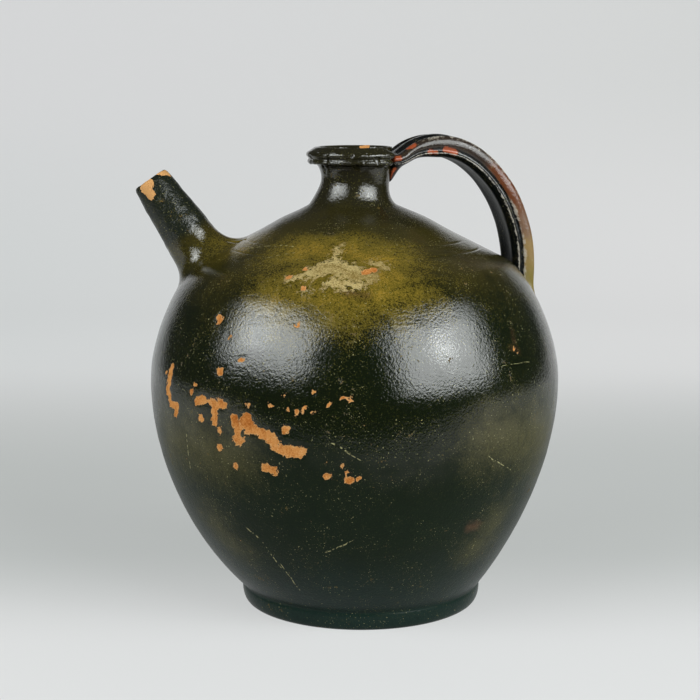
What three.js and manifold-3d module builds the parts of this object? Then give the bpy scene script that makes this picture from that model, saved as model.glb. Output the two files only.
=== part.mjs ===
// Spouted earthenware jug: a globular body thrown in two halves, with a thrown neck collar,
// a conical spout tube and a pulled strap handle, all luted together with soft clay.
// Millimetres, +Z up. The origin is the middle of the flat foot, on the surface it stands on.
// The spout points along -X and the handle lies opposite, turned a little towards +Y.

import * as THREE from 'three';
import { mergeVertices } from 'three/addons/utils/BufferGeometryUtils.js';
import Module from 'manifold-3d';

const wasm = await Module();
wasm.setup();

// Fit between luted pieces
const seatGap = 0.3;

// Foot and lower body
const footRadius = 84;          // widest part of the low foot band
const footEdge = 4;             // how far the flat underside stays inside the foot band
const footHeight = 12.8;        // top of the foot band, where the wall starts
const footWaist = 0.5;          // how far the wall starts inside the foot band
const baseThickness = 10;
const bellyRadius = 141.8;
const bellyHeight = 158;        // height of the widest girth, where the two throws meet
const lowerWall = 8;
const bodyLean = 4.6;           // the hand-thrown body sits this far off its foot, towards the spout
const leanBend = 5.2;           // the higher, the nearer to the foot the lean happens

// Upper body
const upperWall = 6.5;
const shoulderInset = 36.2;     // the belly turns into the conical shoulder this far inside the girth
const shoulderSlope = 26.6;     // degrees above the horizontal
const neckFootRadius = 28;      // top end of the cone
const neckFootHeight = 279;
const incisedDepth = 0.9;
const incisedWidth = 2.6;
const incisedInsets = [18.5, 30]; // two lines scratched round the shoulder, in from its foot

// Neck collar
const neckRadius = 23.5;        // narrowest place
const neckWaistRise = 14.8;     // the narrowest place above the foot of the neck
const neckWall = 5.2;
const neckHeight = 38.4;        // foot of the neck to the top of the rim
const rimHeight = 12.6;         // both beads and the sloping top
const rimSlope = 3;             // fall of the top towards its edge
const lowerBeadRadius = 32.6;
const upperBeadRadius = 33.4;
const beadGroove = 1.1;         // depth of the groove between the beads
const rimCrownRadius = 26;      // highest ring of the rim
const rimCoreRadius = 25.5;     // the beads are pressed back to this where the handle is luted on
const lipWidening = 3.5;        // the mouth is this much wider than the bore, on each side

// Spout tube, measured along its own axis from the skin of the shoulder
const spoutRootInset = 1.5;     // its root lies this far inside the foot of the cone
const spoutTilt = 33.8;         // degrees from the vertical
const spoutLength = 65.1;
const spoutTipRadius = 12.7;
const spoutTaper = 5.9;         // half angle in degrees
const spoutTipBore = 8.2;
const spoutRootBore = 12;
const lipRound = 1.8;
const luteWidth = 3.4;          // clay coil smoothed round the root of the spout
const luteHeight = 9;

// Strap handle
const handleTurn = 16.6;         // degrees from +X towards +Y
const strapWidth = 38;          // at the neck
const strapTailWidth = 32;
const strapRootThickness = 8.2;
const strapThickness = 16;      // over the top
const strapTailThickness = 17.3;
const ribHollow = 2;            // depth of the two channels along the outer face
const edgeGroove = 0.8;         // depth of the groove along each side
const innerHollow = 0.8;        // hollow of the inner face
const handleRise = 0.4;         // middle of the strap at its highest, above the top of the rim
const handleTopReach = 58.2;    // its distance from the body's axis there
const rootOut = 1.9;            // where the strap leaves the neck, outside its waist
const tailDrop = 15;            // where the strap runs into the body, below the foot of the cone
const tailOut = 1.4;            // how far its middle stands off the body there
const tailDepth = 22;           // how far below that its pressed end reaches
const rootFlare = 0.38;         // extra width where it is spread on the neck, as a share
const rootFlareLength = 8;

// Clay pressed on at both ends of the strap
const rootPadWidth = 34;
const rootPadHeight = 17;
const rootPadDepth = 4.4;
const rootPadDrop = 4;          // middle of the pad below the foot of the rim
const tailPadWidth = 47;
const tailPadHeight = 42;
const tailPadRise = 3.6;        // how far it stands off the body
const tailPadInset = 5;         // and how deep its middle lies under the skin

// Facets
const bodyFacets = 48;
const neckFacets = 40;
const spoutFacets = 28;
const strapSteps = 26;

const deg = THREE.MathUtils.degToRad;
const mix = THREE.MathUtils.lerp;
const at = (r, z) => new THREE.Vector2(r, z);

// Points moved sideways off an open outline, to the right of its direction of travel
function offsetOutline(points, distance) {
  return points.map((point, i) => {
    const before = points[Math.max(i - 1, 0)];
    const after = points[Math.min(i + 1, points.length - 1)];
    const along = after.clone().sub(before).normalize();
    return at(point.x + along.y * distance, point.y - along.x * distance);
  });
}

// A revolved solid about Z from an outline of (radius, height) points that closes on itself
function revolve(outline, facets) {
  const closed = [...outline, outline[0].clone()];
  const geometry = new THREE.LatheGeometry(closed, facets);
  geometry.rotateX(Math.PI / 2);
  return geometry;
}

function toSolid(geometry) {
  const bare = geometry.clone();
  bare.deleteAttribute('normal');
  bare.deleteAttribute('uv');
  const merged = mergeVertices(bare, 1e-4);
  const index = Array.from(merged.index.array);
  const position = merged.attributes.position;
  const corner = [0, 1, 2].map(() => new THREE.Vector3());
  const kept = [];
  let volume = 0;
  for (let i = 0; i < index.length; i += 3) {
    const [a, b, c] = index.slice(i, i + 3);
    if (a === b || b === c || c === a) continue;
    [a, b, c].forEach((k, j) => corner[j].fromBufferAttribute(position, k));
    volume += corner[0].dot(corner[1].clone().cross(corner[2]));
    kept.push([a, b, c]);
  }
  const triangles = volume < 0 ? kept.map(([a, b, c]) => [a, c, b]) : kept;
  return new wasm.Manifold(new wasm.Mesh({
    numProp: 3,
    vertProperties: Float32Array.from(position.array),
    triVerts: Uint32Array.from(triangles.flat()),
  }));
}

function toGeometry(solid) {
  const mesh = solid.getMesh();
  const geometry = new THREE.BufferGeometry();
  geometry.setAttribute('position', new THREE.BufferAttribute(Float32Array.from(mesh.vertProperties), 3));
  geometry.setIndex(Array.from(mesh.triVerts));
  geometry.computeVertexNormals();
  return geometry;
}

// Outline of the lower throw: foot, wall up to the girth, inside wall and floor
const wallStart = at(footRadius - footWaist, footHeight);
const lowerCurve = new THREE.CubicBezierCurve(
  wallStart,
  at(mix(wallStart.x, bellyRadius, 0.5), mix(footHeight, bellyHeight, 0.213)),
  at(bellyRadius, mix(footHeight, bellyHeight, 0.603)),
  at(bellyRadius, bellyHeight),
);
const lowerOuter = lowerCurve.getPoints(12);
const lowerInner = offsetOutline(lowerOuter, -lowerWall)
  .filter((point) => point.y > baseThickness + lowerWall);
lowerInner[lowerInner.length - 1].y = bellyHeight;
const floorRadius = lowerInner[0].x - lowerWall * 1.4;
const footBand = [
  at(0, 0),
  at(footRadius - footEdge, 0),
  at(footRadius - footEdge * 0.45, footHeight * 0.1),
  at(footRadius - footEdge * 0.2, footHeight * 0.35),
  at(footRadius, footHeight * 0.75),
];
const innerFloor = [
  at(lowerInner[0].x - lowerWall * 0.45, mix(baseThickness, lowerInner[0].y, 0.35)),
  at(floorRadius, baseThickness),
  at(0, baseThickness),
];
const lowerOutline = [...footBand, ...lowerOuter, ...lowerInner.reverse(), ...innerFloor];

// The body leans off its foot by a smooth shear, complete at the girth
function lean(geometry) {
  const position = geometry.attributes.position;
  for (let i = 0; i < position.count; i++) {
    const part = (position.getZ(i) - footHeight) / (bellyHeight - footHeight);
    const left = 1 - THREE.MathUtils.clamp(part, 0, 1);
    position.setX(i, position.getX(i) - bodyLean * (1 - left ** leanBend));
  }
  return geometry;
}

// Outline of the upper throw: round belly, then the conical shoulder with its incised lines
const slope = Math.tan(deg(shoulderSlope));
const shoulderRadius = bellyRadius - shoulderInset;
const coneHeight = (radius) => neckFootHeight - (radius - neckFootRadius) * slope;
const shoulderFoot = at(shoulderRadius, coneHeight(shoulderRadius));
const shoulderTurn = mix(shoulderRadius, bellyRadius, 0.366);
const upperCurve = new THREE.CubicBezierCurve(
  at(bellyRadius, bellyHeight),
  at(bellyRadius, mix(bellyHeight, shoulderFoot.y, 0.415)),
  at(shoulderTurn, coneHeight(shoulderTurn)),
  shoulderFoot,
);
const bellyPoints = upperCurve.getPoints(11);
const coneNormal = at(Math.sin(deg(shoulderSlope)), Math.cos(deg(shoulderSlope)));
const incised = incisedInsets.flatMap((inset) => [0.5, 0, -0.5].map((side) => {
  const r = shoulderRadius - inset + side * incisedWidth * coneNormal.y;
  const sunk = side === 0 ? incisedDepth : 0;
  return at(r - coneNormal.x * sunk, coneHeight(r) - coneNormal.y * sunk);
}));
const coneTop = at(neckFootRadius, neckFootHeight);
const smoothSkin = [...bellyPoints, coneTop];
const domeInner = offsetOutline(smoothSkin, -upperWall);
domeInner[0] = at(bellyRadius - lowerWall, bellyHeight + seatGap);
const boreRadius = neckRadius - neckWall;
domeInner[domeInner.length - 1] = at(boreRadius, neckFootHeight);
const domeOutline = [
  at(bellyRadius, bellyHeight + seatGap),
  ...bellyPoints.slice(1), ...incised, coneTop,
  ...domeInner.reverse(),
];

// Outline of the neck collar: flare, waist, two rounded beads and the bore
const neckWaistHeight = neckFootHeight + neckWaistRise;
const rimTop = neckFootHeight + neckHeight;
const rimFoot = rimTop - rimHeight;
const neckFlare = new THREE.CubicBezierCurve(
  at(neckFootRadius, neckFootHeight + seatGap),
  at(mix(neckFootRadius, neckRadius, 0.66), mix(neckFootHeight, neckWaistHeight, 0.23)),
  at(neckRadius, mix(neckFootHeight, neckWaistHeight, 0.52)),
  at(neckRadius, neckWaistHeight),
);
const rimUnderside = at(neckRadius + 3, rimFoot);
const neckRise = new THREE.CubicBezierCurve(
  at(neckRadius, neckWaistHeight),
  at(neckRadius, mix(neckWaistHeight, rimFoot, 0.45)),
  at(neckRadius + 0.8, mix(neckWaistHeight, rimFoot, 0.75)),
  rimUnderside,
);
const beadHeight = (rimHeight - rimSlope) / 2;
function bead(radius, middle, from, to, steps) {
  return Array.from({ length: steps + 1 }, (_, i) => {
    const turn = deg(mix(from, to, i / steps));
    const round = beadHeight / 2;
    return at(radius - round + Math.cos(turn) * round, middle + Math.sin(turn) * round);
  });
}
const grooveRadius = Math.min(lowerBeadRadius, upperBeadRadius) - beadGroove;
const neckSkin = [
  ...neckFlare.getPoints(6),
  ...neckRise.getPoints(3).slice(1),
  ...bead(lowerBeadRadius, rimFoot + beadHeight / 2, -50, 40, 4),
  at(grooveRadius, rimFoot + beadHeight),
  ...bead(upperBeadRadius, rimFoot + beadHeight * 1.5, -35, 65, 4),
  at(rimCrownRadius, rimTop),
];
const lipInside = boreRadius + lipWidening;
const neckOutline = [
  ...neckSkin,
  at(mix(rimCrownRadius, lipInside, 0.6), rimTop - 0.2),
  at(lipInside, rimTop - rimSlope * 0.7),
  at(mix(boreRadius, lipInside, 0.25), rimTop - rimHeight * 0.6),
  at(boreRadius, rimFoot - 3),
  at(boreRadius, neckFootHeight + seatGap),
];

// Everything that the spout and the handle are pressed against, filled and grown by a clearance,
// with the neck no wider than a given radius
function upperSkin(clearance, neckLimit) {
  const skin = [at(bellyRadius, bellyHeight - tailDepth), ...bellyPoints.slice(0, -1), shoulderFoot,
    coneTop, ...neckSkin.slice(1).map((point) => at(Math.min(point.x, neckLimit(point)), point.y))];
  const grown = offsetOutline(skin, clearance);
  grown[0].y = bellyHeight - tailDepth;
  return toSolid(revolve([at(0, grown[0].y), ...grown, at(0, grown[grown.length - 1].y)], bodyFacets));
}

// Spout tube and the coil luted round its root, in the frame of the spout's own axis
const spoutRootRadius = shoulderRadius - spoutRootInset;
const spoutFrame = new THREE.Group();
spoutFrame.position.set(-spoutRootRadius, 0, coneHeight(spoutRootRadius));
spoutFrame.rotation.y = -deg(spoutTilt);
spoutFrame.updateMatrix();

const spoutOuter = (along) => spoutTipRadius + (spoutLength - along) * Math.tan(deg(spoutTaper));
const spoutBore = (along) => mix(spoutRootBore, spoutTipBore, along / spoutLength);
const spoutInset = -25;                       // the blank reaches this far under the skin
const lip = [0, 30, 60, 90].map((turn) => at(
  spoutTipRadius - lipRound + Math.cos(deg(turn)) * lipRound,
  spoutLength - lipRound + Math.sin(deg(turn)) * lipRound,
));
const spoutOutline = [
  at(spoutOuter(spoutInset), spoutInset),
  at(spoutOuter(0), 0),
  at(spoutOuter(spoutLength / 2), spoutLength / 2),
  ...lip,
  at(spoutTipBore + lipRound * 0.6, spoutLength),
  at(spoutTipBore, spoutLength - lipRound),
  at(spoutBore(0), 0),
  at(spoutBore(spoutInset), spoutInset),
];
const luteInner = (along) => spoutOuter(along) + seatGap;
const luteOutline = [
  at(luteInner(spoutInset / 2), spoutInset / 2),
  at(luteInner(0) + luteWidth * 1.5, spoutInset / 2),
  ...[0, 0.25, 0.5, 0.75, 1].map((part) => at(
    luteInner(part * luteHeight) + 0.6 + luteWidth * (1 - part) ** 2,
    part * luteHeight,
  )),
  at(luteInner(luteHeight), luteHeight),
];
const wholeSkin = toGeometry(upperSkin(seatGap, (point) => point.x));
const skinAtSpout = toSolid(wholeSkin.clone().applyMatrix4(spoutFrame.matrix.clone().invert()));
const spoutSolid = toSolid(revolve(spoutOutline, spoutFacets)).subtract(skinAtSpout);
const luteSolid = toSolid(revolve(luteOutline, spoutFacets)).subtract(skinAtSpout);
const boreCutter = revolve([
  at(0, spoutInset),
  at(spoutBore(0), spoutInset),
  at(spoutBore(0), spoutLength / 2),
  at(0, spoutLength / 2),
], spoutFacets).applyMatrix4(spoutFrame.matrix);
const domeSolid = toSolid(revolve(domeOutline, bodyFacets)).subtract(toSolid(boreCutter));

// Section of the strap: three ribs and two channels outside, a groove along each side
function strapSection(grow) {
  const half = strapWidth / 2 + grow;
  const top = strapThickness / 2 + grow;
  const side = [
    at(0.24 * half, top - ribHollow * 0.35),
    at(0.46 * half, top - ribHollow),
    at(0.68 * half, top - ribHollow * 0.75),
    at(0.86 * half, top - ribHollow * 0.9),
    at(half - edgeGroove, top * 0.42),
    at(half - edgeGroove * 1.4, top * 0.16),
    at(half, -top * 0.12),
    at(0.93 * half, -top * 0.62),
    at(0.68 * half, -top),
    at(0.34 * half, -top + innerHollow * 0.8),
  ];
  const mirrored = side.map((point) => at(-point.x, point.y)).reverse();
  return new THREE.Shape([at(0, top), ...side, at(0, -top + innerHollow), ...mirrored]);
}

// Middle line of the strap in the handle's own plane: out of the neck, over the top and down
const strapLine = new THREE.CurvePath();
const tailHeight = shoulderFoot.y - tailDrop;
const skinPoints = upperCurve.getPoints(200);
const skinRadius = (height) => skinPoints.find((point) => point.y >= height).x;
const rootPoint = at(neckRadius + rootOut, rimFoot + rimHeight * 0.28);
const topPoint = at(handleTopReach, rimTop + handleRise);
const tailPoint = at(skinRadius(tailHeight) + tailOut, tailHeight);
strapLine.add(new THREE.LineCurve(at(neckRadius - neckWall / 2, rootPoint.y), rootPoint));
strapLine.add(new THREE.CubicBezierCurve(
  rootPoint,
  at(mix(rootPoint.x, topPoint.x, 0.31), mix(rootPoint.y, topPoint.y, 0.12)),
  at(mix(rootPoint.x, topPoint.x, 0.27), topPoint.y),
  topPoint,
));
strapLine.add(new THREE.CubicBezierCurve(
  topPoint,
  at(mix(topPoint.x, tailPoint.x, 0.52), topPoint.y),
  at(tailPoint.x + 3.8, mix(topPoint.y, tailPoint.y, 0.47)),
  tailPoint,
));
strapLine.add(new THREE.LineCurve(tailPoint, at(tailPoint.x - 1.5, tailHeight - tailDepth)));
const [rootLength, topLength, tailLength] = strapLine.getCurveLengths();

function strapThicknessAt(length) {
  return length < topLength
    ? mix(strapRootThickness, strapThickness, THREE.MathUtils.smoothstep(length, rootLength, topLength))
    : mix(strapThickness, strapTailThickness, THREE.MathUtils.smoothstep(length, topLength, tailLength));
}

function strapWidthAt(length) {
  const spread = Math.exp(-((Math.max(length - rootLength, 0) / rootFlareLength) ** 2));
  return mix(strapWidth, strapTailWidth, Math.min(length / tailLength, 1)) * (1 + rootFlare * spread);
}

// The section is drawn at its size over the top, stretched to fit along the way and bent
function strap(grow) {
  const geometry = new THREE.ExtrudeGeometry(strapSection(grow), {
    depth: 1, steps: strapSteps, bevelEnabled: false,
  });
  const position = geometry.attributes.position;
  for (let i = 0; i < position.count; i++) {
    const along = THREE.MathUtils.clamp(position.getZ(i), 0, 1);
    const length = along * strapLine.getLength();
    const middle = strapLine.getPointAt(along);
    const heading = strapLine.getTangentAt(along);
    const across = position.getX(i) * (strapWidthAt(length) / 2 + grow) / (strapWidth / 2 + grow);
    const out = position.getY(i) * (strapThicknessAt(length) / 2 + grow) / (strapThickness / 2 + grow);
    position.setXYZ(i, middle.x - heading.y * out, across, middle.y + heading.x * out);
  }
  return toSolid(geometry);
}

// A rounded lump of clay, given by its middle and its three half sizes
function lump(x, z, depth, width, height) {
  const geometry = new THREE.SphereGeometry(1, 20, 12);
  geometry.rotateX(Math.PI / 2);
  geometry.scale(depth, width / 2, height / 2);
  geometry.translate(x, 0, z);
  return toSolid(geometry);
}

const handleFrame = new THREE.Group();
handleFrame.rotation.z = deg(handleTurn);
handleFrame.updateMatrix();
const intoHandle = handleFrame.matrix.clone().invert();
const skinAtHandle = toSolid(toGeometry(upperSkin(seatGap, () => rimCoreRadius)).applyMatrix4(intoHandle));
const strapSolid = strap(0).subtract(skinAtHandle);
const strapRoom = strap(seatGap);
const rimRoom = [-0.3, 0, 0.3, 0.6, 0.9].map((part) => strapRoom.translate([0, 0, rimHeight * part]))
  .reduce((whole, more) => whole.add(more))
  .subtract(toSolid(revolve(
    [at(0, neckFootHeight), at(rimCoreRadius, neckFootHeight), at(rimCoreRadius, rimTop), at(0, rimTop)],
    neckFacets,
  )));
const rimCutter = toSolid(toGeometry(rimRoom).applyMatrix4(handleFrame.matrix));
const neckSolid = toSolid(revolve(neckOutline, neckFacets)).subtract(rimCutter);
const beadsAtHandle = toSolid(wholeSkin.clone().applyMatrix4(intoHandle)).subtract(rimRoom);
const rootPadSolid = lump(neckRadius, rimFoot - rootPadDrop, rootPadDepth, rootPadWidth, rootPadHeight)
  .subtract(skinAtHandle).subtract(beadsAtHandle).subtract(strapRoom);
const tailPadMiddle = tailHeight - tailDepth * 0.62;
const tailPadSolid = lump(
  skinRadius(tailPadMiddle) - tailPadInset, tailPadMiddle,
  tailPadInset + tailPadRise, tailPadWidth, tailPadHeight,
)
  .subtract(skinAtHandle).subtract(strapRoom);

// Glazed surfaces, green-black over most of the jug and olive-brown where the glaze runs thin
function glaze(colour, roughness) {
  return new THREE.MeshStandardMaterial({ color: colour, roughness, metalness: 0 });
}
function piece(name, geometry, material) {
  const mesh = new THREE.Mesh(geometry, material);
  mesh.name = name;
  return mesh;
}

const jug = new THREE.Group();
const upper = new THREE.Group();
upper.position.x = -bodyLean;
jug.add(piece('lower_body', toGeometry(toSolid(lean(revolve(lowerOutline, bodyFacets)))), glaze(0x161a1c, 0.22)));
upper.add(piece('upper_body', toGeometry(domeSolid), glaze(0x1b1e17, 0.22)));
upper.add(piece('neck_collar', toGeometry(neckSolid), glaze(0x2a2a1c, 0.24)));
spoutFrame.add(piece('spout_tube', toGeometry(spoutSolid), glaze(0x1d201c, 0.24)));
spoutFrame.add(piece('spout_lute', toGeometry(luteSolid), glaze(0x1d1f19, 0.26)));
handleFrame.add(piece('handle_strap', toGeometry(strapSolid), glaze(0x3a2418, 0.28)));
handleFrame.add(piece('handle_root_pad', toGeometry(rootPadSolid), glaze(0x3a2a1a, 0.3)));
handleFrame.add(piece('handle_tail_pad', toGeometry(tailPadSolid), glaze(0x2b1e15, 0.3)));
upper.add(spoutFrame, handleFrame);
jug.add(upper);

export default jug;
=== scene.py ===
import math
import random
import bpy
import bmesh
from mathutils import Matrix, Vector, noise
from mathutils.bvhtree import BVHTree
from mathutils.geometry import interpolate_bezier
from mathutils.kdtree import KDTree


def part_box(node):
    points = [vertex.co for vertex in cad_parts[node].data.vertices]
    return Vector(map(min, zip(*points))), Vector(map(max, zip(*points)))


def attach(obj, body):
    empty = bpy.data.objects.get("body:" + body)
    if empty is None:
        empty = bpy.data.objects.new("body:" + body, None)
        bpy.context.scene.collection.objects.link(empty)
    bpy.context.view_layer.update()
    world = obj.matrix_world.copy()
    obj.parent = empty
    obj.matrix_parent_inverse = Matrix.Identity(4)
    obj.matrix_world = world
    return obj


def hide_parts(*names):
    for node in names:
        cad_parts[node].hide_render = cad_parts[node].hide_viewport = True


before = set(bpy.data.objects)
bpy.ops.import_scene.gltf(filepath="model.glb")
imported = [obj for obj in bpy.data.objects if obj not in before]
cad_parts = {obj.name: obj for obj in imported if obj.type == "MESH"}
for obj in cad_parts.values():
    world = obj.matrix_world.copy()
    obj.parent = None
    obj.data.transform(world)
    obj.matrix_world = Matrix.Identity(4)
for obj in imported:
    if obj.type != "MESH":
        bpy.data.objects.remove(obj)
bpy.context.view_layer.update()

mm = 0.001
degrees = math.radians
sameSpot = 0.02  # outline points nearer than this are one
weldReach = 0.01  # mm

view = {  # set first, because the marks on the glaze are placed through it
    "imageSize": 700,  # pixels across and down
    "focalPixels": 1653,
    "pitch": 9.4,  # degrees below the horizontal
    "place": (-7.65, -1138, 364.5),  # mm from the middle of the foot
    "sensor": 36,
    "clipEnd": 50,
}


def linked(name, data):
    made = bpy.data.objects.new(name, data)
    bpy.context.scene.collection.objects.link(made)
    return made


def makeCamera():
    data = bpy.data.cameras.new("studioCamera")
    data.sensor_width = view["sensor"]
    data.lens = view["focalPixels"] / view["imageSize"] * view["sensor"]
    data.clip_end = view["clipEnd"]
    made = linked("studioCamera", data)
    made.location = Vector(view["place"]) * mm
    made.rotation_euler = (degrees(90 - view["pitch"]), 0, 0)
    bpy.context.scene.camera = made
    return made


camera = makeCamera()


def sightLine(pixel):
    middle = view["imageSize"] / 2
    ray = Vector((pixel[0] - middle, middle - pixel[1], -view["focalPixels"]))
    return (camera.rotation_euler.to_matrix() @ ray).normalized()


def smoothStep(value, low, high):
    part = min(max((value - low) / (high - low), 0), 1)
    return part * part * (3 - 2 * part)


def rough(x, y, z, scale=1):
    return noise.noise(Vector((x, y, z)) * scale)


def bezier(points, steps):
    spots = [Vector((r, 0, z)) for r, z in points]
    curve = interpolate_bezier(spots[0], spots[1], spots[2], spots[3], steps + 1)
    return [(p.x, p.z) for p in curve]


def line(start, end, steps):
    return [(start[0] + (end[0] - start[0]) * i / steps,
             start[1] + (end[1] - start[1]) * i / steps) for i in range(steps + 1)]


def arc(middle, radius, fromAngle, toAngle, steps):
    turns = [degrees(fromAngle + (toAngle - fromAngle) * i / steps) for i in range(steps + 1)]
    return [(middle[0] + math.cos(a) * radius, middle[1] + math.sin(a) * radius) for a in turns]


def joined(*stretches):
    points = []
    for stretch in stretches:
        for point in stretch:
            if not points or math.dist(point, points[-1]) > sameSpot:
                points.append(point)
    return points


def offsetOutline(points, distance):
    moved = []
    for i, point in enumerate(points):
        before, after = points[max(i - 1, 0)], points[min(i + 1, len(points) - 1)]
        along = Vector((after[0] - before[0], after[1] - before[1])).normalized()
        moved.append((point[0] + along.y * distance, point[1] - along.x * distance))
    return moved


def spinOutline(bm, outline, facets):  # outline of (radius, height) in mm, revolved about Z
    verts = [bm.verts.new((r * mm, 0, z * mm)) for r, z in outline]
    edges = [bm.edges.new(pair) for pair in zip(verts, verts[1:])]
    if outline[0][0] > weldReach:  # a tube, closed on itself
        edges.append(bm.edges.new((verts[-1], verts[0])))
    bmesh.ops.spin(bm, geom=verts + edges, axis=(0, 0, 1), cent=(0, 0, 0), dvec=(0, 0, 0),
                   angle=math.tau, steps=facets, use_merge=True)
    bmesh.ops.remove_doubles(bm, verts=bm.verts, dist=weldReach * mm)
    bmesh.ops.recalc_face_normals(bm, faces=bm.faces)


def surfaceTree(mesh):
    return BVHTree.FromPolygons([v.co for v in mesh.vertices], [p.vertices for p in mesh.polygons])


def objectFrom(bm, name):
    mesh = bpy.data.meshes.new(name)
    bm.to_mesh(mesh)
    bm.free()
    mesh.shade_smooth()
    return linked(name, mesh)


def pieceFrom(bm, name, slot, *nodes):
    piece = objectFrom(bm, name)
    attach(piece, "root")
    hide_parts(*nodes)
    return piece


def linear(red, green, blue):  # from sRGB, 0 to 255
    def channel(value):
        part = value / 255
        return part / 12.92 if part <= 0.04045 else ((part + 0.055) / 1.055) ** 2.4
    return (channel(red), channel(green), channel(blue), 1)


class Wire:
    def __init__(self, shader, socket):
        self.shader, self.socket = shader, socket

    def maths(self, operation, *others, swap=False):
        values = [self, *others]
        if swap:
            values.reverse()
        node = self.shader.node("ShaderNodeMath", {"operation": operation}, dict(enumerate(values)))
        return Wire(self.shader, node.outputs[0])

    def __add__(self, other): return self.maths("ADD", other)
    def __sub__(self, other): return self.maths("SUBTRACT", other)
    def __rsub__(self, other): return self.maths("SUBTRACT", other, swap=True)
    def __mul__(self, other): return self.maths("MULTIPLY", other)
    def __rmul__(self, other): return self.maths("MULTIPLY", other)

    def larger(self, other): return self.maths("MAXIMUM", other)
    def smaller(self, other): return self.maths("MINIMUM", other)

    def ramp(self, low, high, toLow=0, toHigh=1):  # smooth step between two values
        node = self.shader.node("ShaderNodeMapRange", {"interpolation_type": "SMOOTHSTEP"},
                                {0: self, 1: low, 2: high, 3: toLow, 4: toHigh})
        return Wire(self.shader, node.outputs[0])


class Shader:
    def __init__(self, name):
        self.material = bpy.data.materials.new(name)
        self.material.use_nodes = True
        self.tree = self.material.node_tree
        self.tree.nodes.clear()
        self.place = self.output("ShaderNodeTexCoord", {}, {}, "Object")

    def node(self, kind, settings, inputs):
        node = self.tree.nodes.new(kind)
        for key, value in settings.items():
            setattr(node, key, value)
        for key, value in inputs.items():
            if isinstance(value, Wire):
                self.tree.links.new(value.socket, node.inputs[key])
            else:
                node.inputs[key].default_value = value
        return node

    def output(self, kind, settings, inputs, name=0):
        return Wire(self, self.node(kind, settings, inputs).outputs[name])

    def noise(self, scale, detail, roughness, distortion=0):
        return self.output("ShaderNodeTexNoise", {}, {
            "Vector": self.place, "Scale": scale, "Detail": detail,
            "Roughness": roughness, "Distortion": distortion}, "Fac")

    def field(self, name):
        return self.output("ShaderNodeAttribute", {"attribute_name": name}, {}, "Fac")

    def height(self):
        return self.output("ShaderNodeSeparateXYZ", {}, {0: self.place}, 2)

    def blend(self, first, second, factor):
        return self.output("ShaderNodeMix", {"data_type": "RGBA"},
                           {0: factor, 6: first, 7: second}, 2)

    def bump(self, heightInMetres):
        return self.output("ShaderNodeBump", {},
                           {"Strength": 1, "Distance": 1, "Height": heightInMetres})

    def along(self, start, direction):  # distance from a point along a direction
        moved = self.node("ShaderNodeVectorMath", {"operation": "SUBTRACT"},
                          {0: self.place, 1: start})
        return Wire(self, self.node("ShaderNodeVectorMath", {"operation": "DOT_PRODUCT"}, {
            0: Wire(self, moved.outputs[0]), 1: direction}).outputs["Value"])

    def scratch(self, start, end, normal, width):  # a broken line across the surface
        s = scratchShape
        length = (end - start).length
        direction = (end - start).normalized()
        across = self.along(start, direction.cross(normal).normalized())
        bend = (self.noise(*noises["bend"]) - 0.5) * s["bend"]
        line = 1 - (across + bend).maths("ABSOLUTE").ramp(width * s["core"], width)
        run = self.along(start, direction)
        line = line * run.ramp(0, s["ends"]) * (1 - run.ramp(length - s["ends"], length))
        depth = self.along(start, normal).ramp(*s["depth"])
        return line * depth * self.noise(*noises["gaps"]).ramp(*s["gaps"])

    def surface(self, colour, roughness, normal, refraction):
        return self.output("ShaderNodeBsdfPrincipled", {}, {
            "Base Color": colour, "Roughness": roughness, "Normal": normal, "IOR": refraction})

    def finish(self, first, second, factor):
        mixed = self.output("ShaderNodeMixShader", {}, {0: factor, 1: first, 2: second})
        self.node("ShaderNodeOutputMaterial", {}, {0: mixed})
        return self.material


noises = {  # scale, detail, roughness and distortion
    "broad": (9, 2, 0.5, 0.3),
    "cloudy": (45, 4, 0.62, 0.5),
    "blotch": (150, 3, 0.6, 0.3),
    "fine": (620, 2, 0.6),
    "grain": (1250, 2, 0.6),
    "ragged": (300, 3, 0.65, 0.6),
    "speck": (980, 2, 0.5),
    "bend": (60, 2, 0.55),
    "gaps": (420, 2, 0.55),
    "paper": (3, 2, 0.5),
}
scratchShape = {  # in m, apart from the two shares
    "bend": 0.004, "ends": 0.002,
    "depth": (-0.012, -0.01),  # so that the far wall isn't scratched too
    "core": 0.5, "gaps": (0.46, 0.56),
}
tones = {  # sRGB of the glaze and of what lies under it
    "foot": (20, 37, 32),  # blue-green black
    "low": (12, 26, 10),
    "belly": (14, 21, 5),  # green-black
    "shoulder": (56, 50, 18),
    "neck": (30, 29, 19),
    "tube": (22, 29, 25),
    "olive": (122, 105, 34),
    "amber": (182, 136, 50),
    "rust": (76, 52, 36),
    # dull olive: rubbed glaze, and painted floor reflection on the belly's sides
    "wornAndSheen": (92, 86, 50),
    "mottlePale": (62, 74, 44),
    "mottleDark": (5, 8, 6),
    "strapRoot": (46, 38, 32),
    "channel": (8, 12, 14),
    "channelBrown": (30, 24, 20),
    "red": (172, 82, 48),
    # painted highlight colour for the strap's crest, ridge and arris
    "ridgeGlint": (176, 168, 156),
    "gold": (92, 86, 32),
    "speck": (176, 170, 124),
    "crust": (196, 176, 120),
    "crustShade": (112, 92, 44),
    "clay": (198, 134, 72),
    "clayDark": (166, 94, 36),
    "clayPale": (218, 172, 116),
    "chipRim": (26, 18, 10),
}
colours = {name: linear(*tone) for name, tone in tones.items()}
strapTones = {  # colour of the strap's rolled edge at shares of its length
    "arch": ((52, 42, 36), 0.15, 0.3),
    "rust": ((98, 54, 32), 0.38, 0.48),
    "mauve": ((112, 86, 68), 0.58, 0.68),
    "tan": ((138, 114, 74), 0.7, 0.78),
    "ochre": ((120, 106, 54), 0.82, 0.9),
}
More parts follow.
